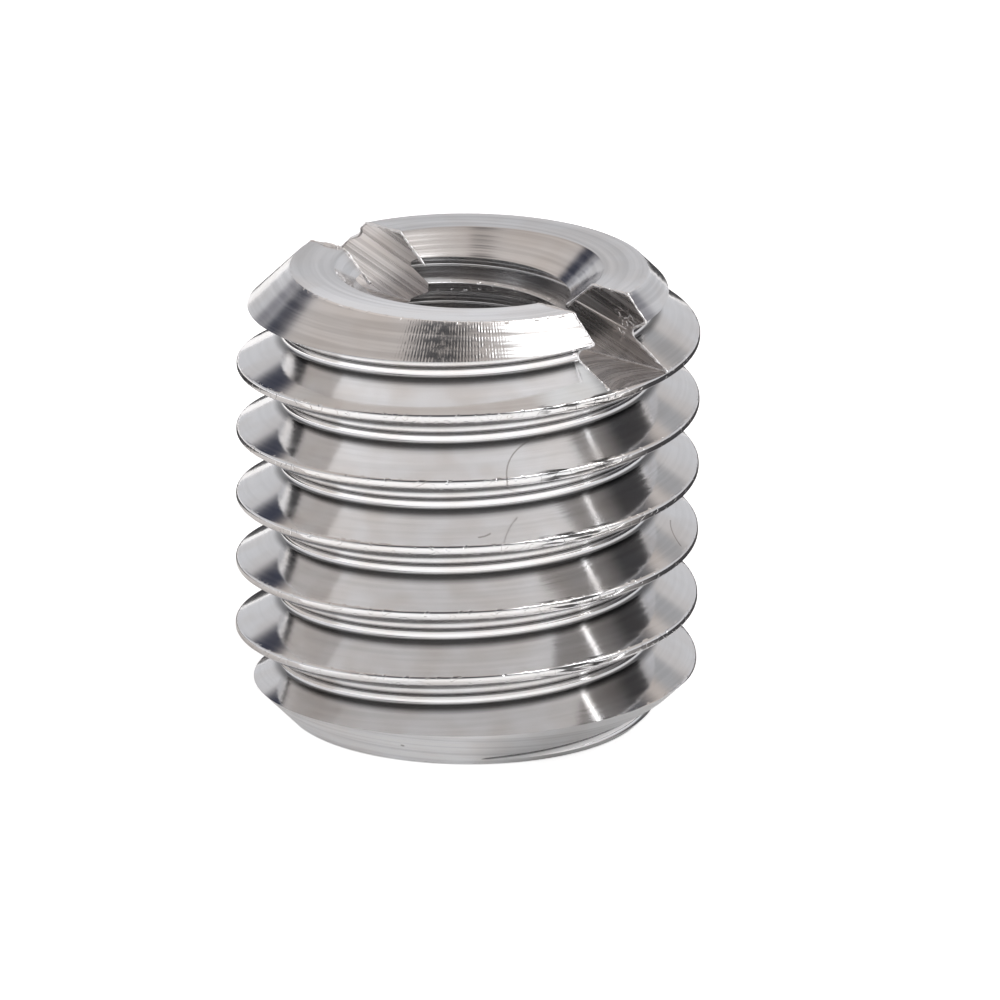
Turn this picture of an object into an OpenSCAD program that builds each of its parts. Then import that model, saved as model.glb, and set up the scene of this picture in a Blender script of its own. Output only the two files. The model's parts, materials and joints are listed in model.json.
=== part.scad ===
// Threaded insert with a driver slot, one piece turned from round bar.
// Units are millimetres.  The origin is the centre of the bottom face, Z runs up
// the axis and the slot runs along X.

/* [Body] */
// Length from face to face
insert_length = 11.85; // [8:0.05:30]
// Outside diameter over the thread crests
outer_dia = 11.85; // [11:0.05:16]
// Outside diameter of the two end faces, where the 45 degree lead chamfers start
face_dia = 9.15; // [8.6:0.05:9.6]

/* [Outside thread] */
// Rise of the thread in one turn
thread_pitch = 1.75; // [1:0.05:2]
// Width of the flat left on the crest
crest_flat = 0.18; // [0.12:0.01:0.3]
// Radius of the rounded root of the groove
root_radius = 0.18; // [0.1:0.01:0.24]
// Height of the first groove above the bottom face, on the +X side
thread_start = 0.31; // [0:0.01:1]
// Number of straight steps in one turn of the groove
turn_steps = 48; // [24:4:72]

/* [Bore] */
// Diameter of the smooth tapping bore, the inside thread's minor diameter
bore_dia = 5.1; // [4:0.05:5.6]
// Diameter of the countersink at each face
countersink_dia = 6.9; // [6.2:0.05:7.6]
// Steepness of the countersink, measured from the end face
countersink_angle = 42; // [30:1:60]

/* [Driver slot] */
// Width of the slot across the top face
slot_width = 2.12; // [1:0.02:2.6]
// Depth of the slot below the top face
slot_depth = 1.81; // [1:0.01:2.4]

/* [Hidden] */
$fn = 144;
outer_r = outer_dia / 2;
face_r = face_dia / 2;
bore_r = bore_dia / 2;
sink_r = countersink_dia / 2;
lead_drop = outer_r - face_r;
sink_drop = (sink_r - bore_r) * tan(countersink_angle);
// The groove is a 60 degree vee: half its width grows by tan(30) for each unit of radius.
half_slope = tan(30);
mouth_half = (thread_pitch - crest_flat) / 2;
vee_depth = mouth_half / half_slope;
root_centre = outer_r - vee_depth + root_radius / sin(30);
// The groove's mouth reaches this far past the crests, and its sections stand off the blank's seam
// by a part of a step.
over = 0.25 * crest_flat;
off_seam = 0.37;

// Corners of the groove's section as [radius, height], lower mouth first.
function groove_section() = concat(
    [[outer_r + over, -mouth_half - over * half_slope]],
    [for (a = [-60, -20, 20, 60]) [root_centre - root_radius * cos(a), root_radius * sin(a)]],
    [[outer_r + over, mouth_half + over * half_slope]]
);

// A section point carried along the helix by t turns, measured from +X.
function on_helix(p, t, z0) =
    [p[0] * cos(360 * t), p[0] * sin(360 * t), z0 + p[1] + thread_pitch * t];

// The helical groove as one closed body that starts below the blank and ends above it.
module thread_groove() {
    section = groove_section();
    m = len(section);
    below = ceil((thread_start + mouth_half) / thread_pitch + 0.1);
    turns = ceil((insert_length - thread_start + mouth_half) / thread_pitch + 0.1) + below;
    steps = turns * turn_steps;
    z0 = thread_start - below * thread_pitch;
    points = [for (s = [0 : steps]) for (p = section) on_helix(p, (s + off_seam) / turn_steps, z0)];
    sides = [for (s = [0 : steps - 1]) for (j = [0 : m - 1])
        let (a = s * m + j, b = s * m + (j + 1) % m, c = a + m, d = b + m)
        each [[a, c, b], [b, c, d]]];
    ends = [[for (j = [0 : m - 1]) j], [for (j = [m - 1 : -1 : 0]) steps * m + j]];
    polyhedron(points = points, faces = concat(sides, ends), convexity = 12);
}

// The turned blank: bore, both countersinks, both lead chamfers and both faces.
module blank() {
    rotate_extrude()
        polygon([
            [bore_r, sink_drop], [sink_r, 0], [face_r, 0], [outer_r, lead_drop],
            [outer_r, insert_length - lead_drop], [face_r, insert_length],
            [sink_r, insert_length], [bore_r, insert_length - sink_drop]
        ]);
}

// The driver slot, milled straight across the top face.
module slot_cut() {
    translate([-outer_dia, -slot_width / 2, insert_length - slot_depth])
        cube([2 * outer_dia, slot_width, 2 * slot_depth]);
}

module insert() {
    color([0.72, 0.72, 0.73])
        difference() {
            blank();
            thread_groove();
            slot_cut();
        }
}

insert();
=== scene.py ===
"""A slotted threaded insert in bright turned steel, dressed around its CAD frame.

The whole piece is one mesh: a turned blank is cut to the outside thread, the inside
thread and the driver slot, and every corner then gets the normal of the true surface
that it lies on.  Sizes are in millimetres until the mesh is scaled to metres.
"""
import json
import math

import bpy
import numpy as np
from mathutils import Matrix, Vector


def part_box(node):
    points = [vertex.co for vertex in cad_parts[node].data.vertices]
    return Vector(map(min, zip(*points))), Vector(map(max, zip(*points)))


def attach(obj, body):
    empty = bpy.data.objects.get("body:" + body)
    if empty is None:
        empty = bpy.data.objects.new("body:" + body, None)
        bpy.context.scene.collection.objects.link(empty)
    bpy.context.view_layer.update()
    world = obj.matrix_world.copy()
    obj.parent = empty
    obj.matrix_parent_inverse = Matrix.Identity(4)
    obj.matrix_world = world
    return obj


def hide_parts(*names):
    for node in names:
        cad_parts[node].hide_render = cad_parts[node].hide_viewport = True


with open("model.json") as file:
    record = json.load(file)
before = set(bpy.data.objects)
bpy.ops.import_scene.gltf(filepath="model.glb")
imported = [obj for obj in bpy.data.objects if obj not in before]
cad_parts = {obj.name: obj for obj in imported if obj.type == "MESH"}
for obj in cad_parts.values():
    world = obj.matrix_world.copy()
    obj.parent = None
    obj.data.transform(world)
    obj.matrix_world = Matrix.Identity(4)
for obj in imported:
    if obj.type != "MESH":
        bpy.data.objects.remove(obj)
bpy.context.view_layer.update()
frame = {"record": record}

MM = 0.001
low, high = (np.array(corner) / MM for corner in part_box("insert"))
mounts = {mount["name"]: mount for mount in frame["record"]["mounts"]}

# Body, from the frame where the frame says it
LENGTH = high[2]
OUTER_R = (high[0] - low[0]) / 2
FACE_R = 4.575
RIM_ROUND = 0.035
LEAD_OVER = 0.5  # how far past the crests the blank's lead cones run, for the thread to cut back
BLANK_STEPS = 288

# Outside thread
PITCH = 1.75
CREST_FLAT = 0.18
CREST_ROUND = 0.12
ROOT_ROUND = 0.18
THREAD_START = 0.31
TURN_STEPS = 180

# Inside thread
BORE_R = mounts["inner_thread"]["dims"]["r_mm"]
INNER_PITCH = 1.0
INNER_FLAT = 0.24
INNER_ROUND = 0.03
INNER_ROOT_FLAT = 0.12
INNER_ROOT_ROUND = 0.05
INNER_START = 0.12
INNER_STEPS = 120
SINK_R = 3.45
SINK_ANGLE = math.radians(42)

# Driver slot
SLOT_WIDTH = 2.12
SLOT_DEPTH = 1.81
SLOT_CORNER = 0.06
# The bead along its edges: radius, step between points, how much it swells and sways as parts of the
# radius, and the points round it
BURR_R = 0.034
BURR_STEP = 0.03
BURR_SWELL = 0.35
BURR_SWAY = 0.4
BURR_SIDES = 8
# The lip torn up beside the slot at the near block: middle in x, reach, added radius, and the least
# and greatest radius of the bead there
TORN_LIP = (-3.75, 0.40, 0.07, 0.006, 0.11)

# Camera, as fitted to the photograph
AZIMUTH = math.radians(41.3)
ELEVATION = math.radians(18.31)
ROLL = math.radians(0.437)
DISTANCE = 480.4
PX_PER_MM = 39.03
AXIS_PX = (467.3, 487.4)
FRAME_PX = 1000
SENSOR = 36.0

# The raised line on the slot's wall at +x: its start (x, height from the top face), drop for each unit
# of x and reach in x, the middle of the raised specks there, and how high both stand
RAISED_LINE = ((2.71, -0.585), 0.2285, 1.5)
SPECKS_AT = (4.35, 1.06, 11.00)
MARK_HEIGHT = 0.03
# Heights between which the slot's floor gives way to its walls
FLOOR_BAND = (LENGTH - SLOT_DEPTH + 0.01, LENGTH - SLOT_DEPTH + 0.05)

# Directions as the photograph shows them
RIGHT = np.array([math.cos(AZIMUTH), math.sin(AZIMUTH), 0])
TOWARD = np.array([math.sin(AZIMUTH), -math.cos(AZIMUTH), 0])
UP = np.array([0.0, 0.0, 1.0])

# The cards on the floor, painted reflections that only gloss sees: reach to the right of the part, reach
# towards the viewer, the stretch of that on which the far colour turns into the near one, and both
# colours
CARDS = {
    "side_card": ((8.0, 250.0), (-250.0, 10.0), (-3.0, 8.0), (0.09, 0.09, 0.095), (0.50, 0.49, 0.48)),
    "back_card": ((-7.0, 8.0), (-60.0, -7.0), (-2.0, 9.0), (0.07, 0.07, 0.075), (0.07, 0.07, 0.075)),
    "left_card": ((-60.0, -7.0), (-60.0, 4.0), (-18.0, -12.0), (0.08, 0.08, 0.085), (0.90, 0.88, 0.86)),
}
CARD_DROP = 0.01
# A glowing strip on the side card, a painted light that gives the flanks their glint: from and to
# (right, towards the viewer), half its width, strength, and the stretch to the right on which it comes
# in
CARD_PAINTED_GLOW = ((8.0, 4.7), (20.0, 6.4), 0.20, 4.0, (7.0, 8.0))

# The floor: radii of its rings and depth below the part in metres, its glow to the camera, and its
# glow to gloss, from one value at one distance in millimetres to another further out, where the dimmer
# glow close to the part is a painted shadow round it, seen in reflections
FLOOR_RINGS = (0.02, 0.2, 3.0)
FLOOR_DROP = 0.00002
FLOOR_SIDES = 96
FLOOR_GLOW = 0.7
FLOOR_GLOSS = (6, 22, 0.10, 0.48)

# The room's colour low down and high up, and the heights between which one turns into the other
ROOM_LOW = (0.66, 0.66, 0.68, 1)
ROOM_HIGH = (0.62, 0.57, 0.54, 1)
ROOM_TURN = (0.25, 0.62)
WHITE = (1, 1, 1, 1)

# The chatter on the top cone: direction, waves in one radian, half its spread, and height
CHATTER_SIDE = math.radians(-54)
CHATTER_WAVES = 400.0
CHATTER_SPREAD = (0.14, 0.34)
CHATTER_HEIGHT = 0.0016

# The dark dashes on the thread's crests: direction, half their spread, and how dark they are
DASH_SIDE = math.radians(-20)
DASH_SPREAD = (0.12, 0.22)
DASH_DARK = 0.85

# How bright the outside thread is, judged from the photograph, as painted light in place of reflections:
# a painted highlight on the root, painted shade on the fillet beside it, what the flank adds, and the
# painted highlight that the crest adds, then the heights above the root or depths below the crest
# where each one takes over
ROOT_HIGHLIGHT_TONE = 1.2
FILLET_SHADE_TONE = 0.23
FLANK_TONE = 0.75
CREST_HIGHLIGHT_TONE = 0.10
FILLET_BAND = (0.018, 0.045)
FLANK_BAND = (0.07, 0.27)
CREST_BAND = (0.04, 0.005)
DASH_BAND = (0.14, 0.08)

# Tones judged from the photograph, which stand in for reflections: what is added along the top face
# towards the viewer and along the bottom cone to the right (from, to, tone there, tone here), and the
# slot's floor against its walls
FACE_TONES = (0.0, 4.4, -0.10, 0.32)
BOTTOM_TONES = (-0.5, 3.0, 0.25, -0.30)
FLOOR_TONE = 0.85

# Which surface a face belongs to while the mesh is cut
SURFACES = range(4)
BLANK, OUTSIDE, INSIDE, SLOT = SURFACES


# Profiles

def rounded_line(corners, radii, steps=5):
    """An open line through the corners, with an arc of the given radius at each inner corner.

    At a corner P with unit directions a in and b out, the arc starts at P - a t, where
    t = radius tan(turn / 2), and turns about the point one radius to the side b bends to."""
    corners = np.asarray(corners, float)
    points = [corners[0][None]]
    for before, here, after, radius in zip(corners, corners[1:], corners[2:], radii):
        a, b = (here - before), (after - here)
        a, b = a / np.linalg.norm(a), b / np.linalg.norm(b)
        turn = math.atan2(a[0] * b[1] - a[1] * b[0], a @ b)
        side = np.array([-a[1], a[0]]) * np.sign(turn)
        start = here - a * radius * math.tan(abs(turn) / 2)
        angle = np.linspace(0, abs(turn), steps + 1)[:, None]
        centre = start + side * radius
        points.append(centre + radius * (a * np.sin(angle) - side * np.cos(angle)))
    points.append(corners[-1][None])
    return np.concatenate(points)


def vee_thread(crest_r, pitch, crest_flat, crest_round, root_flat, root_round, way, steps=6):
    """One pitch of a 60 degree thread as points (radius, height), from mid crest to mid crest.

    The flanks gain tan(30) in height for each unit of radius, and run from the crest flat
    at crest_r towards the axis (way -1) or away from it (way 1) until the root flat is left."""
    run = (pitch - crest_flat - root_flat) / 2
    root_r = crest_r + way * run / math.tan(math.radians(30))
    roots = [(root_r, (pitch - root_flat) / 2), (root_r, (pitch + root_flat) / 2)]
    roots = roots if root_flat else roots[:1]
    corners = [
        (crest_r, 0), (crest_r, crest_flat / 2), *roots,
        (crest_r, pitch - crest_flat / 2), (crest_r, pitch),
    ]
    radii = [crest_round] + [root_round] * len(roots) + [crest_round]
    return rounded_line(corners, radii, steps)


def profile_normals(points, closed_pitch=False):
    """Unit normals at the points of a line (radius, height), to its right as it is walked.

    Each is the mean of the normals of the two steps that meet there, weighted by the cube of
    each step's length, so that the end of a straight run keeps the run's own normal."""
    step = np.diff(points, axis=0)
    length = np.linalg.norm(step, axis=1, keepdims=True)
    normal = np.stack([step[:, 1], -step[:, 0]], axis=1) / length
    total = np.zeros_like(points)
    total[:-1] += normal * length ** 3
    total[1:] += normal * length ** 3
    if closed_pitch:
        total[0] += total[-1]
        total[-1] = total[0]
    return total / np.linalg.norm(total, axis=1, keepdims=True)


# Meshes

def mesh_object(name, points, faces, surface=None):
    """A mesh object from arrays of points and of faces.

    With a surface's number, it has a material slot for each surface, and its faces carry that one."""
    mesh = bpy.data.meshes.new(name)
    mesh.from_pydata(points, [], faces)
    if surface is not None:
        for _ in SURFACES:
            mesh.materials.append(None)
        mesh.polygons.foreach_set("material_index", np.full(len(mesh.polygons), surface, np.int32))
    mesh.update()
    obj = bpy.data.objects.new(name, mesh)
    bpy.context.scene.collection.objects.link(obj)
    return obj


def grid_quads(rows, columns):
    """Quads over a grid of rows x columns points, as indices into the flattened grid."""
    i, j = np.meshgrid(np.arange(rows - 1), np.arange(columns - 1), indexing="ij")
    corner = (i * columns + j).ravel()
    return np.stack([corner, corner + columns, corner + columns + 1, corner + 1], axis=1)


def ring_quads(index):
    """Quads between rings of points that close on themselves, where each row of index is one ring."""
    after = np.roll(index, -1, axis=1)
    return np.stack([index[:-1], index[1:], after[1:], after[:-1]], axis=2).reshape(-1, 4)


def threaded_rod(name, profile, pitch, start, turns, steps, surface):
    """A closed rod whose side is the profile (radius, height) carried up a right-hand helix.

    Point (s, j) lies at the angle 2 pi s / steps, at radius r_j and height
    start + pitch s / steps + h_j.  The top of one turn's strip is the bottom of the next
    turn's, and a fan to the axis closes each end."""
    radius, height = profile[:-1, 0], profile[:-1, 1]
    rows = len(radius)
    count = turns * steps
    s = np.arange(count + steps + 1)[:, None]
    angle = 2 * math.pi * s / steps
    z = start + pitch * s / steps + height
    grid = np.stack([radius * np.cos(angle), radius * np.sin(angle), z], axis=2)
    index = np.arange((count + steps + 1) * rows).reshape(-1, rows)
    upper = np.concatenate([index[:count + 1], index[steps:steps + count + 1, :1]], axis=1)
    quads = np.stack([upper[:-1, :-1], upper[1:, :-1], upper[1:, 1:], upper[:-1, 1:]], axis=2)
    low_loop = np.concatenate([index[:steps + 1, 0], index[0, :0:-1], index[:1, 0]])
    high_loop = np.concatenate([index[count:, 0], index[count, :0:-1], index[count:count + 1, 0]])
    points = grid.reshape(-1, 3)
    ends = np.array([[0, 0, start - pitch], [0, 0, start + pitch * (turns + 2)]])
    bottom, top = len(points), len(points) + 1
    fans = [[bottom, b, a] for a, b in zip(low_loop, low_loop[1:])]
    fans += [[top, a, b] for a, b in zip(high_loop, high_loop[1:])]
    used = np.unique(np.concatenate([quads.ravel(), np.ravel(fans)]))
    renumber = np.zeros(len(points) + 2, int)
    renumber[used] = np.arange(len(used))
    points = np.concatenate([points, ends])[used]
    faces = renumber[quads.reshape(-1, 4)].tolist() + renumber[np.array(fans)].tolist()
    return mesh_object(name, points, faces, surface)


def turned_body(name, profile, steps, surface):
    """A closed body of revolution: the profile (radius, height), turned about Z.

    Point (i, j) is (r_j cos a_i, r_j sin a_i, h_j).  The profile's ends lie on the axis, and a fan to
    each of them closes the body."""
    angle = np.linspace(0, 2 * math.pi, steps, endpoint=False)[:, None]
    radius, height = profile[1:-1].T
    columns = len(radius)
    height = np.broadcast_to(height, (steps, columns))
    side = np.stack([radius * np.cos(angle), radius * np.sin(angle), height], axis=2)
    quads = grid_quads(steps + 1, columns) % (steps * columns)
    points = np.concatenate([side.reshape(-1, 3), [[0, 0, profile[0, 1]], [0, 0, profile[-1, 1]]]])
    first = np.arange(steps) * columns
    after = np.roll(first, -1)
    start, end = len(points) - 2, len(points) - 1
    start_fan = np.stack([np.full(steps, start), after, first], axis=1)
    end_fan = np.stack([np.full(steps, end), first + columns - 1, after + columns - 1], axis=1)
    faces = quads.tolist() + start_fan.tolist() + end_fan.tolist()
    return mesh_object(name, points, faces, surface)


def straight_bar(name, section, half_length, surface):
    """A closed bar along X with the given section (y, z), walked anticlockwise seen from +X."""
    count = len(section)
    ends = [np.column_stack([np.full(count, x), section]) for x in (-half_length, half_length)]
    i = np.arange(count)
    j = (i + 1) % count
    sides = np.stack([i, j, j + count, i + count], axis=1).tolist()
    caps = [i[::-1].tolist(), (i + count).tolist()]
    return mesh_object(name, np.concatenate(ends), sides + caps, surface)


def cut(body, tool, operation):
    """Combines the body's mesh with the tool's, and deletes the tool."""
    modifier = body.modifiers.new("cut", "BOOLEAN")
    modifier.operation = operation
    modifier.solver = "MANIFOLD"
    modifier.object = tool
    graph = bpy.context.evaluated_depsgraph_get()
    result = bpy.data.meshes.new_from_object(body.evaluated_get(graph))
    body.modifiers.clear()
    body.data = result
    bpy.data.objects.remove(tool)


# True normals

def thread_normals(points, profile, pitch, start, sign):
    """Normals of a helical thread at the given points.

    A point's place along the profile is u = (z - start - pitch angle / 2 pi) mod pitch.  With the
    profile's normal (n_r, n_z) there, the surface r = f(u) has the normal
    n_r e_r - n_z (pitch / 2 pi r) e_angle + n_z e_z."""
    x, y, z = points.T
    r, angle = np.hypot(x, y), np.arctan2(y, x)
    u = (z - start - pitch * angle / (2 * math.pi)) % pitch
    normal = profile_normals(profile, closed_pitch=True)
    n_r = np.interp(u, profile[:, 1], normal[:, 0])
    n_z = np.interp(u, profile[:, 1], normal[:, 1])
    n_t = -n_z * pitch / (2 * math.pi * r)
    out = np.stack([n_r * x / r - n_t * y / r, n_r * y / r + n_t * x / r, n_z], axis=1)
    return sign * out / np.linalg.norm(out, axis=1, keepdims=True)


def turned_normals(points, centres, profile):
    """Normals of a body of revolution at the given points.

    Each point is taken to lie on the profile's step that is nearest to its face's centre.  Along a step
    the normal runs evenly from the profile's normal at its start to that at its end."""
    normal = profile_normals(profile)
    start, end = profile[:-1], profile[1:]
    along = end - start

    def place(q, step):
        return np.clip(((q - start[step]) * along[step]).sum(-1) / (along[step] ** 2).sum(-1), 0, 1)

    def flat(p):
        return np.stack([np.hypot(p[:, 0], p[:, 1]), p[:, 2]], axis=1)

    centre = flat(centres)[:, None, :]
    every = np.arange(len(start))[None, :]
    t = place(centre, every)[..., None]
    gap = np.linalg.norm(start + t * along - centre, axis=2)
    step = gap.argmin(axis=1)
    t = place(flat(points), step)[:, None]
    n = normal[step] * (1 - t) + normal[step + 1] * t
    n /= np.linalg.norm(n, axis=1, keepdims=True)
    r = np.maximum(np.hypot(points[:, 0], points[:, 1]), 1e-9)
    return np.stack([n[:, 0] * points[:, 0] / r, n[:, 0] * points[:, 1] / r, n[:, 1]], axis=1)


def set_true_normals(mesh, outside, inside, blank):
    """Gives every face corner the normal of the surface that it was cut from.

    The slot's faces are flat, and keep their own."""
    corners = len(mesh.loops)
    vertex = np.empty(corners, np.int32)
    mesh.loops.foreach_get("vertex_index", vertex)
    place = np.empty(len(mesh.vertices) * 3)
    mesh.vertices.foreach_get("co", place)
    place = place.reshape(-1, 3)[vertex]
    faces = len(mesh.polygons)
    sizes, kinds = np.empty(faces, np.int32), np.empty(faces, np.int32)
    centres, flat = np.empty(faces * 3), np.empty(faces * 3)
    mesh.polygons.foreach_get("loop_total", sizes)
    mesh.polygons.foreach_get("material_index", kinds)
    mesh.polygons.foreach_get("center", centres)
    mesh.polygons.foreach_get("normal", flat)
    owner = np.repeat(np.arange(faces), sizes)
    kind, centre = kinds[owner], centres.reshape(-1, 3)[owner]
    normals = flat.reshape(-1, 3)[owner].copy()
    on = kind == OUTSIDE
    normals[on] = thread_normals(place[on], outside, PITCH, outer_start, 1)
    on = kind == INSIDE
    normals[on] = thread_normals(place[on], inside, INNER_PITCH, inner_start, -1)
    on = kind == BLANK
    normals[on] = turned_normals(place[on], centre[on], blank)
    mesh.polygons.foreach_set("use_smooth", np.ones(faces, bool))
    mesh.normals_split_custom_set(normals)


# The insert

outside_profile = vee_thread(OUTER_R, PITCH, CREST_FLAT, CREST_ROUND, 0, ROOT_ROUND, -1)
ROOT_R = outside_profile[:, 0].min()
inside_profile = vee_thread(
    BORE_R, INNER_PITCH, INNER_FLAT, INNER_ROUND, INNER_ROOT_FLAT, INNER_ROOT_ROUND, 1)
sink_pit = SINK_R * math.tan(SINK_ANGLE)
blank_r = OUTER_R + LEAD_OVER
lead = blank_r - FACE_R
blank_profile = rounded_line(
    [
        (0, sink_pit), (SINK_R, 0), (FACE_R, 0), (blank_r, lead),
        (blank_r, LENGTH - lead), (FACE_R, LENGTH), (SINK_R, LENGTH), (0, LENGTH - sink_pit),
    ],
    [RIM_ROUND] * 6,
)
# The crest's middle lies half a pitch above the groove's middle.
outer_start = THREAD_START - PITCH / 2 - 2 * PITCH
inner_start = INNER_START - 2 * INNER_PITCH


def make_insert():
    """The blank, cut to both threads and the slot, with true normals, in metres."""
    insert = turned_body("threaded_insert", blank_profile, BLANK_STEPS, BLANK)
    turns = math.ceil(LENGTH / PITCH) + 3
    rod = threaded_rod("outside_thread", outside_profile, PITCH, outer_start, turns, TURN_STEPS, OUTSIDE)
    cut(insert, rod, "INTERSECT")
    turns = math.ceil(LENGTH / INNER_PITCH) + 3
    tap = threaded_rod(
        "inside_thread", inside_profile, INNER_PITCH, inner_start, turns, INNER_STEPS, INSIDE)
    cut(insert, tap, "DIFFERENCE")
    half, floor, above = SLOT_WIDTH / 2, LENGTH - SLOT_DEPTH, LENGTH + 1
    corners = [(half, above), (-half, above), (-half, floor), (half, floor), (half, above)]
    section = rounded_line(corners, [0.001, SLOT_CORNER, SLOT_CORNER])[:-1]
    cut(insert, straight_bar("slot_cutter", section, 2 * OUTER_R, SLOT), "DIFFERENCE")
    mesh = insert.data
    set_true_normals(mesh, outside_profile, inside_profile, blank_profile)
    mesh.transform(Matrix.Scale(MM, 4))
    triangles = sum(len(face.vertices) - 2 for face in mesh.polygons)
    print("insert:", len(mesh.polygons), "faces", triangles, "triangles")
    return insert


def tube(name, path, radius, sides):
    """A closed tube along a path in a plane of constant y, with its own radius at each point.

    Point (i, k) is path_i + radius_i (cos a_k Y + sin a_k N_i), where N_i is square to the path and
    to Y.  A fan to the path's first and last points closes each end."""
    ahead = np.gradient(path, axis=0)
    ahead /= np.linalg.norm(ahead, axis=1, keepdims=True)
    side = np.array([0.0, 1.0, 0.0])
    normal = np.cross(ahead, side)
    angle = np.linspace(0, 2 * math.pi, sides, endpoint=False)[None, :, None]
    ring = np.cos(angle) * side + np.sin(angle) * normal[:, None, :]
    points = (path[:, None, :] + radius[:, None, None] * ring).reshape(-1, 3)
    count = len(path)
    index = np.arange(count * sides).reshape(count, sides)
    after = np.roll(index, -1, axis=1)
    first, last = count * sides, count * sides + 1
    fans = [[first, a, b] for a, b in zip(index[0], after[0])]
    fans += [[last, b, a] for a, b in zip(index[-1], after[-1])]
    points = np.concatenate([points, path[:1], path[-1:]])
    return mesh_object(name, points, ring_quads(index).tolist() + fans, BLANK)


def slot_rim(side, end):
    """The edge where one wall of the slot (side -1 or 1 in y) meets the skin, at one end (-1 or 1 in x).

    It climbs from the slot's floor, where the skin's radius is the smaller of the lead cone's and the
    thread's at each height, then crosses the top face and goes down the countersink."""
    y = side * SLOT_WIDTH / 2
    z = np.linspace(LENGTH - SLOT_DEPTH + 0.02, LENGTH, 90)
    cone = FACE_R + LENGTH - z
    x = end * np.full(len(z), 5.0)
    for _ in range(8):
        u = (z - outer_start - PITCH * np.arctan2(y, x) / (2 * math.pi)) % PITCH
        radius = np.minimum(cone, np.interp(u, outside_profile[:, 1], outside_profile[:, 0]))
        x = end * np.sqrt(radius ** 2 - y ** 2)
    climb = np.column_stack([x, np.full(len(z), y), z])
    sink = np.linspace(0, SINK_R - BORE_R - 0.1, 20)
    flat = np.linspace(FACE_R - 0.02, SINK_R + 0.02, 24)
    radius = np.concatenate([flat, SINK_R - sink])
    height = np.concatenate([np.full(len(flat), LENGTH), LENGTH - sink * math.tan(SINK_ANGLE)])
    cross = np.column_stack([end * np.sqrt(radius ** 2 - y ** 2), np.full(len(radius), y), height])
    return np.concatenate([climb, cross])


def even_path(path, step):
    """The path with points at even steps along it."""
    along = np.concatenate([[0], np.cumsum(np.linalg.norm(np.diff(path, axis=0), axis=1))])
    at = np.arange(0, along[-1], step)
    return np.column_stack([np.interp(at, along, path[:, k]) for k in range(3)])


def make_burrs():
    """The ragged bead that the cutter raised along the slot's edges, as one mesh in metres.

    Its radius is a base times one plus a slow wave plus smoothed noise, and larger where a lip was
    torn up.  Another smoothed noise sways it sideways."""
    rng = np.random.default_rng(12)
    torn_x, torn_reach, torn_more, least, greatest = TORN_LIP
    burrs = []
    for side in (-1, 1):
        for end in (-1, 1):
            path = even_path(slot_rim(side, end), BURR_STEP)
            count = len(path)
            noise = np.convolve(rng.standard_normal(count + 6), np.ones(3) / 3, "same")[:count]
            slow = np.sin(np.arange(count) * rng.uniform(0.15, 0.25) + rng.uniform(0, 6))
            radius = BURR_R * np.clip(1 + BURR_SWELL * slow + BURR_SWELL * noise, 0.4, 1.8)
            if side == -1 and end == -1:
                torn = torn_more * np.exp(-((path[:, 0] - torn_x) / torn_reach) ** 2)
                radius = np.clip(radius + torn * (1 + 0.4 * noise), least, greatest)
            sway = np.convolve(rng.standard_normal(count + 4), np.ones(5) / 5, "same")[:count]
            path[:, 1] -= side * BURR_R * (0.25 + BURR_SWAY * sway)
            path[:, 2] -= 0.4 * radius
            burrs.append(tube(f"burr_{side}_{end}", path, radius, BURR_SIDES))
    body = burrs[0]
    with bpy.context.temp_override(active_object=body, selected_editable_objects=burrs):
        bpy.ops.object.join()
    body.name = "slot_burrs"
    body.data.polygons.foreach_set("use_smooth", np.ones(len(body.data.polygons), bool))
    body.data.transform(Matrix.Scale(MM, 4))
    return body


# Node trees

class Tree:
    """Short calls that add nodes to one node tree and join them up."""

    def __init__(self, tree):
        self.tree = tree

    def node(self, kind, inputs=(), **settings):
        """A new node with the given settings, whose inputs are joined to sockets or set to values."""
        node = self.tree.nodes.new(kind)
        for name, value in settings.items():
            setattr(node, name, value)
        pairs = inputs.items() if isinstance(inputs, dict) else enumerate(inputs)
        for key, value in pairs:
            if isinstance(value, bpy.types.NodeSocket):
                self.tree.links.new(value, node.inputs[key])
            else:
                node.inputs[key].default_value = value
        return node

    def math(self, operation, *values):
        return self.node("ShaderNodeMath", values, operation=operation).outputs[0]

    def vector(self, operation, *values):
        node = self.node("ShaderNodeVectorMath", values, operation=operation)
        return node.outputs["Value" if operation in {"DOT_PRODUCT", "LENGTH", "DISTANCE"} else "Vector"]

    def scale(self, vector, factor):
        inputs = {"Vector": vector, "Scale": factor}
        return self.node("ShaderNodeVectorMath", inputs, operation="SCALE").outputs[0]

    def distance_from(self, value, middle):
        """How far the value lies from the middle, to either side."""
        return self.math("ABSOLUTE", self.math("SUBTRACT", value, middle))

    def join(self, *values):
        return self.node("ShaderNodeCombineXYZ", values).outputs[0]

    def split(self, vector):
        return self.node("ShaderNodeSeparateXYZ", [vector]).outputs

    def step(self, value, low, high, start=0.0, end=1.0):
        """A smooth step of the value, from start at low to end at high."""
        inputs = [value, low, high, start, end]
        return self.node("ShaderNodeMapRange", inputs, interpolation_type="SMOOTHSTEP").outputs[0]

    def blend(self, factor, a, b):
        """Colour a where the factor is 0, colour b where it is 1."""
        return self.node("ShaderNodeMix", {0: factor, 6: a, 7: b}, data_type="RGBA").outputs[2]

    def noise(self, vector, scale, detail, rough=0.5):
        inputs = {"Vector": vector, "Scale": scale, "Detail": detail, "Roughness": rough}
        return self.node("ShaderNodeTexNoise", inputs).outputs[0]


def new_material(name):
    """A new node material, with the tree of its nodes and its shader."""
    material = bpy.data.materials.new(name)
    material.use_nodes = True
    return material, Tree(material.node_tree), material.node_tree.nodes["Principled BSDF"]


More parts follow.
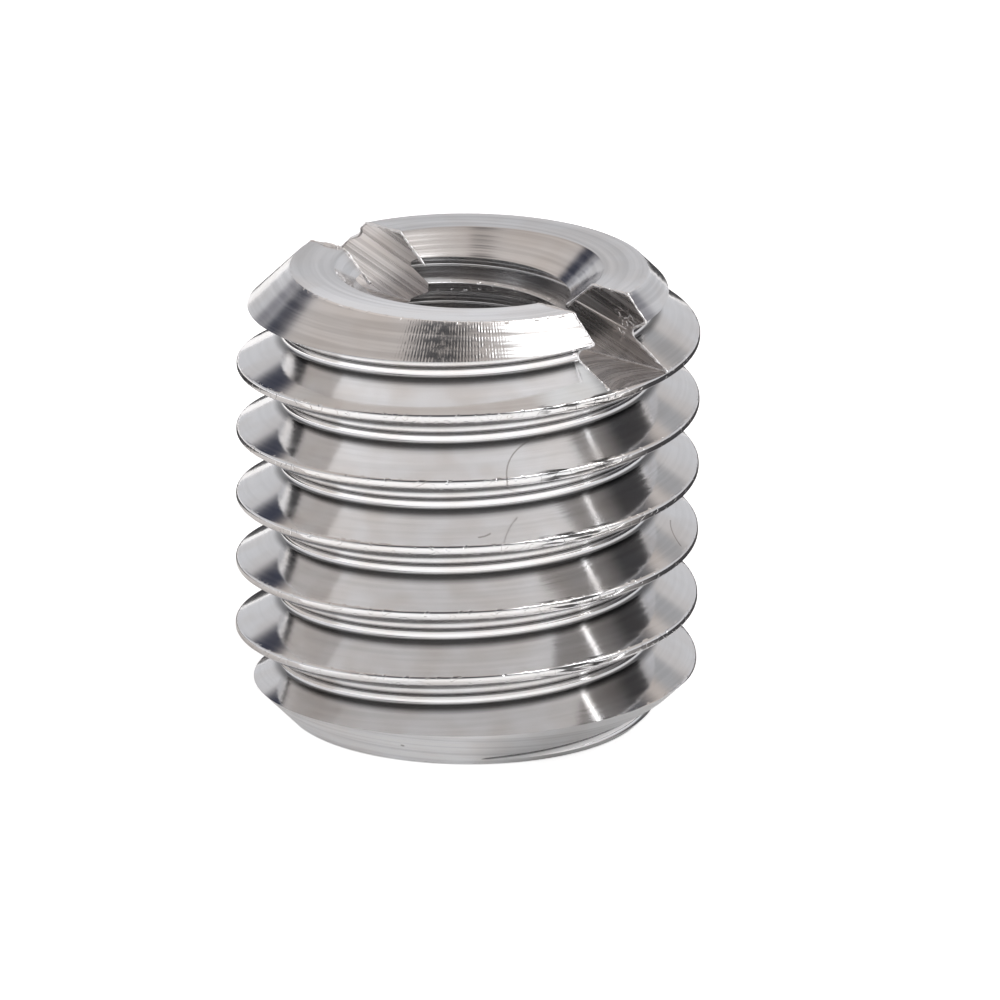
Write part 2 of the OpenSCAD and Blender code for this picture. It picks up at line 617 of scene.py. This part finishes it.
def group(name, inputs, outputs, build):
    """A shader node group, filled by build(nodes, inputs).

    inputs gives each input's name and default, and outputs gives the outputs' names."""
    tree = bpy.data.node_groups.new(name, "ShaderNodeTree")
    for title, value in inputs.items():
        kind = "NodeSocketFloat" if isinstance(value, (int, float)) else "NodeSocketVector"
        socket = tree.interface.new_socket(title, in_out="INPUT", socket_type=kind)
        socket.default_value = value
    for title in outputs:
        tree.interface.new_socket(title, in_out="OUTPUT", socket_type="NodeSocketFloat")
    nodes = Tree(tree)
    results = build(nodes, nodes.node("NodeGroupInput").outputs)
    nodes.node("NodeGroupOutput", dict(zip(outputs, results)))
    return tree


def place_group(nodes, tree, inputs):
    """Puts a group into a material or world, and gives its outputs."""
    return nodes.node("ShaderNodeGroup", inputs, node_tree=tree).outputs


def build_round_place(nodes, inputs):
    """Radius, angle about the axis, and the cut's own place, as (radius, cos q, sin q) with
    q = 2 pi (height / pitch - angle / 2 pi), which stays the same all the way up a helical cut."""
    x, y, z = nodes.split(inputs["Position"])
    radius = nodes.vector("LENGTH", nodes.join(x, y, 0.0))
    angle = nodes.math("ARCTAN2", y, x)
    turns = nodes.math("DIVIDE", z, inputs["Pitch"])
    q = nodes.math("SUBTRACT", nodes.math("MULTIPLY", turns, 2 * math.pi), angle)
    return radius, angle, nodes.math("COSINE", q), nodes.math("SINE", q)


def build_cut_lines(nodes, inputs):
    """Fine lines left by the tool: noise that changes fast across the cut and slowly along it.

    Lines is 0 to 1, and Patches is a slow change of the cut's quality from place to place."""
    position = inputs["Position"]
    across = nodes.scale(inputs["Place"], nodes.math("DIVIDE", 1.0, inputs["Spacing"]))
    along = nodes.scale(position, 0.35)
    lines = nodes.noise(nodes.vector("ADD", across, along), 0.45, 2.0, 0.75)
    return lines, nodes.noise(position, 0.9, 1.0, 0.6)


def build_handling(nodes, inputs):
    """Nicks left by handling, 0 to 1, where Edge is high."""
    nicks = nodes.step(nodes.noise(inputs["Position"], 6.0, 0.0), 0.61, 0.66)
    return (nodes.math("MULTIPLY", nicks, inputs["Edge"]),)


def build_scratch(nodes, inputs):
    """One curved scratch, 0 to 1: where the surface meets a thin sphere about Centre, near to Middle."""
    position, width = inputs["Position"], inputs["Width"]
    off = nodes.distance_from(nodes.vector("DISTANCE", position, inputs["Centre"]), inputs["Radius"])
    line = nodes.step(off, nodes.math("MULTIPLY", width, 0.5), width, 1.0, 0.0)
    away = nodes.vector("DISTANCE", position, inputs["Middle"])
    return (nodes.math("MULTIPLY", line, nodes.math("LESS_THAN", away, inputs["Reach"])),)


ORIGIN = (0, 0, 0)
round_place = group(
    "round_place", {"Position": ORIGIN, "Pitch": PITCH},
    ["Radius", "Angle", "Cosine", "Sine"], build_round_place)
cut_lines = group(
    "cut_lines", {"Place": ORIGIN, "Position": ORIGIN, "Spacing": 0.05},
    ["Lines", "Patches"], build_cut_lines)
handling = group("handling_marks", {"Position": ORIGIN, "Edge": 0.0}, ["Nicks"], build_handling)
scratch = group(
    "scratch",
    {"Position": ORIGIN, "Centre": ORIGIN, "Radius": 1.0, "Middle": ORIGIN, "Reach": 0.5, "Width": 0.02},
    ["Scratch"], build_scratch)

# Scratches by finish: centre and radius of the curve, middle and reach of the piece that shows, width
SCRATCHES = {
    "turned_steel": [
        ((2.067, -4.776, 0.629), 0.00, (2.067, -4.776, 0.629), 0.12, 0.07),
    ],
    "cut_thread_steel": [
        ((5.54, -2.60, 8.06), 1.46, (4.24, -3.10, 8.48), 1.10, 0.028),
        ((3.526, -3.716, 6.775), 0.623, (4.021, -3.904, 6.494), 0.175, 0.035),
        ((5.45, 3.783, 4.517), 1.6, (4.838, 2.572, 5.157), 0.585, 0.028),
    ],
}

# The steel's tint where it is cool and where it is warm, and the colour of a scratch
COOL = (1.0, 1.0, 1.01)
WARM = (0.95, 0.93, 0.92)
SCRATCH_COLOUR = (0.40, 0.38, 0.37, 1)
SCRATCH_STRENGTH = 0.8
NICK_DEPTH = 0.010


def steel(name, tone, spacing, depth, rough, streak, place, edge, relief=None, shade=None):
    """A bright steel finish for one kind of cut.

    spacing and depth are those of the tool's lines, streak is how much darker their bottoms are than
    their tops, and place(nodes, position) gives the place across the cut that they follow.  edge gives
    0 to 1 near the cut's edges, relief may add to the height, and shade scales the colour with painted
    light and shade.  Lengths are in millimetres."""
    material, nodes, shader = new_material(name)
    position = nodes.node("ShaderNodeTexCoord").outputs["Object"]
    in_mm = {"Vector": position, "Scale": (1 / MM, 1 / MM, 1 / MM)}
    position = nodes.node("ShaderNodeMapping", in_mm).outputs[0]
    lines, patches = place_group(nodes, cut_lines, {
        "Place": place(nodes, position), "Position": position, "Spacing": spacing})
    nicks = place_group(nodes, handling, {"Position": position, "Edge": edge(nodes, position)})[0]
    scratched = 0.0
    for centre, radius, middle, reach, width in SCRATCHES.get(name, ()):
        mark = place_group(nodes, scratch, {
            "Position": position, "Centre": centre, "Radius": radius, "Middle": middle,
            "Reach": reach, "Width": width})[0]
        scratched = nodes.math("MAXIMUM", scratched, mark)
    cool, warm = ([*np.multiply(tone, tint), 1] for tint in (COOL, WARM))
    colour = nodes.blend(nodes.step(patches, 0.35, 0.7), cool, warm)
    bright = nodes.step(lines, 0.34, 0.66, 1.0 - streak, 1.0 + 0.3 * streak)
    if shade:
        bright = nodes.math("MULTIPLY", bright, shade(nodes, position))
    colour = nodes.scale(colour, bright)
    colour = nodes.blend(nodes.math("MULTIPLY", scratched, SCRATCH_STRENGTH), colour, SCRATCH_COLOUR)
    roughness = nodes.step(lines, 0.2, 0.8, rough * 0.7, rough * 1.3)
    roughness = nodes.math("ADD", roughness, nodes.math("MULTIPLY", patches, 0.06))
    height = nodes.math("MULTIPLY", lines, depth)
    height = nodes.math("SUBTRACT", height, nodes.math("MULTIPLY", nicks, NICK_DEPTH))
    if relief:
        height = nodes.math("ADD", height, relief(nodes, position))
    bump = nodes.node("ShaderNodeBump", {"Height": height, "Distance": MM})
    nodes.tree.links.new(colour, shader.inputs["Base Color"])
    nodes.tree.links.new(roughness, shader.inputs["Roughness"])
    nodes.tree.links.new(bump.outputs[0], shader.inputs["Normal"])
    shader.inputs["Metallic"].default_value = 1.0
    return material


def thread_place(pitch, swing):
    """The place across a helical cut: (radius, swing cos q, swing sin q)."""
    def make(nodes, position):
        inputs = {"Position": position, "Pitch": pitch}
        radius, _, cosine, sine = place_group(nodes, round_place, inputs)
        across, along = (nodes.math("MULTIPLY", part, swing) for part in (cosine, sine))
        return nodes.join(radius, across, along)
    return make


def ring_place(nodes, position):
    """The place across a turned cut: (radius, height, 0)."""
    radius, *_ = place_group(nodes, round_place, {"Position": position})
    return nodes.join(radius, nodes.split(position)[2], 0.0)


def radius_edge(start, end):
    """1 near the radius end, 0 from start."""
    def make(nodes, position):
        radius, *_ = place_group(nodes, round_place, {"Position": position})
        return nodes.step(radius, start, end)
    return make


def thread_painted_light(nodes, position):
    """How bright the cut is by radius: bright in the root's middle, dull where its fillet meets the
    flanks, and brighter again on the crest, where dark dashes lie along it near one direction.  The
    bright root and crest are painted highlights and the dull fillet is painted shade, in place of
    reflections."""
    radius, angle, *_ = place_group(nodes, round_place, {"Position": position})
    height = nodes.split(position)[2]
    along, up = nodes.math("MULTIPLY", angle, 7.0), nodes.math("MULTIPLY", height, 14.0)
    dash = nodes.step(nodes.noise(nodes.join(along, up, 0.0), 1.0, 1.0), 0.50, 0.56)
    beside = nodes.step(nodes.distance_from(angle, DASH_SIDE), *DASH_SPREAD, DASH_DARK, 0.0)
    dash = nodes.math("MULTIPLY", dash, beside)
    dash = nodes.math("MULTIPLY", dash, nodes.step(radius, *(OUTER_R - below for below in DASH_BAND)))
    # painted highlight on the root and the crest, painted shade on the fillet
    fillet = nodes.step(radius, *(ROOT_R + above for above in FILLET_BAND), ROOT_HIGHLIGHT_TONE, FILLET_SHADE_TONE)
    flank = nodes.step(radius, *(ROOT_R + above for above in FLANK_BAND), 0.0, FLANK_TONE)
    crest = nodes.step(radius, *(OUTER_R - below for below in CREST_BAND), 0.0, CREST_HIGHLIGHT_TONE)
    shade = nodes.math("ADD", nodes.math("ADD", fillet, flank), crest)
    return nodes.math("MULTIPLY", shade, nodes.math("SUBTRACT", 1.0, dash))


def blank_edge(nodes, position):
    """1 close to the top face's outer rim."""
    radius, *_ = place_group(nodes, round_place, {"Position": position})
    return nodes.step(nodes.distance_from(radius, FACE_R), 0.02, 0.07, 1.0, 0.0)


def chatter(nodes, position):
    """The ripple of a tool that shook, in millimetres: a wave round the axis, strongest at one side."""
    _, angle, *_ = place_group(nodes, round_place, {"Position": position})
    wave = nodes.math("SINE", nodes.math("MULTIPLY", angle, CHATTER_WAVES))
    wave = nodes.math("MULTIPLY", wave, nodes.step(nodes.noise(position, 7.0, 1.0), 0.30, 0.70))
    away = nodes.distance_from(angle, CHATTER_SIDE)
    return nodes.math("MULTIPLY", wave, nodes.step(away, *CHATTER_SPREAD, CHATTER_HEIGHT, 0.0))


def blank_shade(nodes, position):
    """How bright the turned skin is: the top face from its far side to its near side, the bottom cone
    from left to right, as the photograph shows them.  Both are painted on the part, in place of
    reflections, and are no finish of the real one."""
    height = nodes.split(position)[2]
    ahead = nodes.vector("DOT_PRODUCT", position, tuple(TOWARD))
    aside = nodes.vector("DOT_PRODUCT", position, tuple(RIGHT))
    top = nodes.step(height, LENGTH - 0.04, LENGTH - 0.02)
    bottom = nodes.step(height, 1.5, 2.5, 1.0, 0.0)
    shade = nodes.math("MULTIPLY_ADD", top, nodes.step(ahead, *FACE_TONES), 1.0)
    return nodes.math("MULTIPLY_ADD", bottom, nodes.step(aside, *BOTTOM_TONES), shade)


def slot_shade(nodes, position):
    """How bright the slot is: a little duller on its floor, a painted shade in place of reflections."""
    return nodes.step(nodes.split(position)[2], *FLOOR_BAND, FLOOR_TONE, 1.0)


def slot_marks(nodes, position):
    """A raised line and a few raised specks on the slot's wall at +x, in millimetres."""
    x, _, z = nodes.split(position)
    (line_x, line_drop), slope, reach = RAISED_LINE
    along = nodes.math("SUBTRACT", x, line_x)
    off = nodes.math("ADD", z, nodes.math("MULTIPLY", along, slope))
    line = nodes.step(nodes.distance_from(off, LENGTH + line_drop), 0.0, 0.045, MARK_HEIGHT, 0.0)
    line = nodes.math("MULTIPLY", line, nodes.step(along, reach, reach + 0.3, 1.0, 0.0))
    line = nodes.math("MULTIPLY", line, nodes.step(x, line_x - 0.4, line_x - 0.2))
    specks = nodes.step(nodes.noise(position, 7.0, 1.0), 0.50, 0.66, 0.0, MARK_HEIGHT)
    near = nodes.step(nodes.vector("DISTANCE", position, SPECKS_AT), 0.15, 0.55, 1.0, 0.0)
    return nodes.math("ADD", line, nodes.math("MULTIPLY", specks, near))


def slot_place(nodes, position):
    """The place across the cutter's marks: slanting lines on the walls, and shallow arcs across
    the floor, x - 0.35 y^2."""
    x, y, z = nodes.split(position)
    slant = nodes.math("ADD", nodes.math("MULTIPLY", x, 0.30), z)
    arc = nodes.math("SUBTRACT", x, nodes.math("MULTIPLY", nodes.math("MULTIPLY", y, y), 0.35))
    floor = nodes.step(z, *FLOOR_BAND, 1.0, 0.0)
    across = nodes.node("ShaderNodeMix", {0: floor, 2: slant, 3: arc}).outputs[0]
    return nodes.join(across, nodes.math("MULTIPLY", y, 0.05), 0.0)


def slot_edge(nodes, position):
    """1 near the slot's upper edges."""
    return nodes.step(nodes.split(position)[2], LENGTH - 0.15, LENGTH)


# In the order of the surfaces: blank, outside, inside, slot
finishes = [
    steel("turned_steel", 0.80, spacing=0.12, depth=0.0065, rough=0.12, streak=0.16,
          place=ring_place, edge=blank_edge, relief=chatter, shade=blank_shade),
    steel("cut_thread_steel", 0.80, spacing=0.08, depth=0.0012, rough=0.075, streak=0.04,
          place=thread_place(PITCH, 0.5), edge=radius_edge(OUTER_R - 0.10, OUTER_R), shade=thread_painted_light),
    steel("tapped_bore_steel", 0.82, spacing=0.05, depth=0.0014, rough=0.20, streak=0.20,
          place=thread_place(INNER_PITCH, 0.3), edge=radius_edge(BORE_R + 0.1, BORE_R)),
    steel("milled_slot_steel", (0.83, 0.81, 0.80), spacing=0.07, depth=0.010, rough=0.26, streak=0.38,
          place=slot_place, edge=slot_edge, relief=slot_marks, shade=slot_shade),
]
# The burrs' steel is brighter than the other steels: a real raised bead with a painted highlight on it
burr_highlight_finish = steel("raised_burr_highlight_steel", 0.98, spacing=0.10, depth=0.004, rough=0.32, streak=0.0,
                    place=slot_place, edge=slot_edge)


# Stage, light and camera

def seen_from_front(right, toward, up):
    """A unit vector from its parts to the right, towards the viewer and upward, seen from the front."""
    vector = right * RIGHT + toward * TOWARD + up * UP
    return vector / np.linalg.norm(vector)


def build_soft_panel(nodes, inputs):
    """How much of a soft-edged panel with round corners lies in a direction, 0 to 1.

    With a, b and c the parts of (direction - facing) along the panel's across, up and facing
    vectors, each divided by its half size, the panel ends where a^4 + b^4 + c^4 = 1."""
    part = nodes.node("ShaderNodeMapping", {
        "Vector": inputs["Direction"], "Location": inputs["Facing"], "Rotation": inputs["Turn"],
        "Scale": inputs["Half size"]}, vector_type="TEXTURE").outputs[0]
    reach = nodes.vector("LENGTH", nodes.vector("MULTIPLY", part, part))
    inner, outer = (nodes.math(way, 1.0, inputs["Edge"]) for way in ("SUBTRACT", "ADD"))
    return (nodes.step(reach, inner, outer, 1.0, 0.0),)


soft_panel = group(
    "soft_panel",
    {"Direction": (0, 0, 1), "Facing": (0, 0, 1), "Turn": ORIGIN, "Half size": (1, 1, 1), "Edge": 0.5},
    ["Mask"], build_soft_panel)

# Each panel, placed to give the photograph's reflections: facing, across (both seen from the front),
# half width, half height, edge, colour
PANELS = [
    ((0.00, 1.00, 0.10), (1, 0, 0), 1.60, 0.42, 0.20, (1.0, 1.0, 1.0)),
    ((-0.15, 0.62, 0.77), (1, 0, 0), 0.90, 0.30, 0.15, (0.10, 0.10, 0.11)),
    ((-0.18, 0.29, 0.94), (1, 0, 0), 0.16, 0.09, 0.14, (0.08, 0.08, 0.085)),
    ((0.31, -0.30, 0.90), (1, 0, 0), 0.12, 0.16, 0.10, (0.85, 0.85, 0.85)),
    ((0.52, 0.24, 0.82), (1, -0.7, 0), 0.35, 0.145, 0.08, (4.5, 4.5, 4.55)),
    ((0.42, -0.48, 0.77), (1, 0.1, 0), 0.07, 0.13, 0.06, (0.12, 0.12, 0.13)),
    ((-0.54, -0.70, 0.46), (-0.85, 0.49, -0.26), 0.24, 0.12, 0.16, (0.04, 0.045, 0.07)),
    ((0.66, -0.61, 0.43), (1, 0, 0), 0.08, 0.10, 0.10, (0.28, 0.28, 0.31)),
    ((-0.56, -0.79, 0.26), (1, 0, 0), 0.07, 0.07, 0.12, (0.28, 0.28, 0.31)),
    ((-0.44, -0.56, 0.70), (1, 0, 0), 0.13, 0.11, 0.14, (0.55, 0.52, 0.50)),
    ((0.44, -0.72, 0.53), (1, 0, 0), 0.13, 0.09, 0.12, (0.42, 0.42, 0.43)),
]
# How much larger a panel's form is than its stated size, for its round corners, and its softest edge
PANEL_SPREAD = 1.04
PANEL_SOFTEST = 0.9


def make_world():
    """A soft studio by direction alone: a plain room with panels, which the camera sees as white."""
    world = bpy.data.worlds.new("soft_studio")
    bpy.context.scene.world = world
    world.use_nodes = True
    nodes = Tree(world.node_tree)
    direction = nodes.node("ShaderNodeTexCoord").outputs["Generated"]
    height = nodes.split(direction)[2]
    colour = nodes.blend(nodes.step(height, *ROOM_TURN), ROOM_LOW, ROOM_HIGH)
    for facing, across, width, tall, edge, shade in PANELS:
        facing, across = seen_from_front(*facing), seen_from_front(*across)
        across = across - facing * (across @ facing)
        across = across / np.linalg.norm(across)
        axes = np.column_stack([across, np.cross(facing, across), facing])
        turn = Matrix(axes.tolist()).to_euler("XYZ")
        half = [math.sin(math.atan(size)) * PANEL_SPREAD for size in (width, tall)]
        mask = place_group(nodes, soft_panel, {
            "Direction": direction, "Facing": tuple(facing), "Turn": tuple(turn),
            "Half size": (*half, 1.0), "Edge": min(PANEL_SOFTEST, edge / min(width, tall))})[0]
        colour = nodes.blend(mask, colour, (*shade, 1))
    seen = nodes.node("ShaderNodeLightPath").outputs["Is Camera Ray"]
    colour = nodes.blend(seen, colour, WHITE)
    background = world.node_tree.nodes["Background"]
    nodes.tree.links.new(colour, background.inputs["Color"])


def make_floor():
    """A pale disc under the insert: rings of points, each on a circle, round a middle face.

    The camera sees it as white, and gloss sees it glow, less close to the part: a painted shadow round
    the part in its reflections."""
    radii = np.array(FLOOR_RINGS)[:, None]
    angle = np.linspace(0, 2 * math.pi, FLOOR_SIDES, endpoint=False)
    height = np.full((len(radii), FLOOR_SIDES), -FLOOR_DROP)
    rings = np.stack([radii * np.cos(angle), radii * np.sin(angle), height], axis=2)
    index = np.arange(rings[..., 0].size).reshape(height.shape)
    floor = mesh_object("floor", rings.reshape(-1, 3), ring_quads(index).tolist() + [index[0].tolist()])
    material, nodes, shader = new_material("pale_floor")
    shader.inputs["Base Color"].default_value = (0.9, 0.9, 0.9, 1)
    shader.inputs["Roughness"].default_value = 0.9
    shader.inputs["Specular IOR Level"].default_value = 0.0
    shader.inputs["Emission Color"].default_value = WHITE
    path = nodes.node("ShaderNodeLightPath").outputs
    glow = nodes.math("MULTIPLY", path["Is Camera Ray"], FLOOR_GLOW)
    reach = nodes.vector("LENGTH", nodes.node("ShaderNodeTexCoord").outputs["Object"])
    start, end, near, far = FLOOR_GLOSS
    # the gloss glow is dimmer close to the part: a painted shadow seen in reflections
    gloss = nodes.step(reach, start * MM, end * MM, near, far)
    gloss = nodes.math("MULTIPLY", path["Is Glossy Ray"], gloss)
    nodes.tree.links.new(nodes.math("ADD", glow, gloss), shader.inputs["Emission Strength"])
    floor.data.materials.append(material)


def make_card(name, aside, ahead, fade, far, near):
    """A dark card lying on the floor, which only gloss sees, with painted reflections for the metal: a
    flat grid of two by two points.

    It turns from the far colour into the near one towards the viewer, and holds a glowing strip, a
    painted light that gives the flanks their glint."""
    across, along = np.meshgrid(aside, ahead, indexing="ij")
    points = across[..., None] * RIGHT + along[..., None] * TOWARD - CARD_DROP * UP
    card = mesh_object(name, points.reshape(-1, 3) * MM, [[0, 1, 3, 2]])
    material, nodes, shader = new_material(name + "_painted_reflection")
    place = nodes.node("ShaderNodeTexCoord").outputs["Object"]
    forward = nodes.vector("DOT_PRODUCT", place, tuple(TOWARD / MM))
    colour = nodes.blend(nodes.step(forward, *fade), (*far, 1), (*near, 1))
    nodes.tree.links.new(colour, shader.inputs["Base Color"])
    shader.inputs["Roughness"].default_value = 1.0
    shader.inputs["Specular IOR Level"].default_value = 0.0
    start, end, half, strength, begin = CARD_PAINTED_GLOW
    line = np.array(end) - np.array(start)
    square = np.array([-line[1], line[0]]) / np.linalg.norm(line)
    off = nodes.vector("DOT_PRODUCT", place, tuple((square[0] * RIGHT + square[1] * TOWARD) / MM))
    off = nodes.distance_from(off, float(square @ np.array(start)))
    rightward = nodes.vector("DOT_PRODUCT", place, tuple(RIGHT / MM))
    # a glowing strip: painted light, which the flanks show as a glint
    painted_glow = nodes.step(off, half * 0.6, half, strength, 0.0)
    painted_glow = nodes.math("MULTIPLY", painted_glow, nodes.step(rightward, *begin))
    shader.inputs["Emission Color"].default_value = WHITE
    nodes.tree.links.new(painted_glow, shader.inputs["Emission Strength"])
    card.data.materials.append(material)
    card.visible_camera = card.visible_diffuse = card.visible_shadow = False


def make_camera():
    """The photograph's camera: far off, with a long lens, and shifted a little off the part's axis."""
    data = bpy.data.cameras.new("camera")
    camera = bpy.data.objects.new("camera", data)
    bpy.context.scene.collection.objects.link(camera)
    back = math.cos(ELEVATION) * TOWARD + math.sin(ELEVATION) * UP
    up = math.cos(ELEVATION) * UP - math.sin(ELEVATION) * TOWARD
    across = math.cos(ROLL) * RIGHT + math.sin(ROLL) * up
    upward = -math.sin(ROLL) * RIGHT + math.cos(ROLL) * up
    place = np.array([0, 0, LENGTH / 2]) + DISTANCE * back
    matrix = np.eye(4)
    matrix[:3, 0], matrix[:3, 1], matrix[:3, 2], matrix[:3, 3] = across, upward, back, place * MM
    camera.matrix_world = Matrix(matrix.tolist())
    data.sensor_width = SENSOR
    data.lens = PX_PER_MM * DISTANCE * SENSOR / FRAME_PX
    data.shift_x = (FRAME_PX / 2 - AXIS_PX[0]) / FRAME_PX
    data.shift_y = (AXIS_PX[1] - FRAME_PX / 2) / FRAME_PX
    data.clip_start, data.clip_end = 0.01, 20
    bpy.context.scene.camera = camera


insert = make_insert()
burrs = make_burrs()
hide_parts("insert")
for piece, worn in ((insert, finishes), (burrs, [burr_highlight_finish] * len(finishes))):
    for slot, finish in enumerate(worn):
        piece.data.materials[slot] = finish
    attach(piece, "root")

make_world()
make_floor()
for card_name, parts in CARDS.items():
    make_card(card_name, *parts)
make_camera()
bpy.context.scene.view_settings.view_transform = "Standard"

bpy.context.view_layer.update()
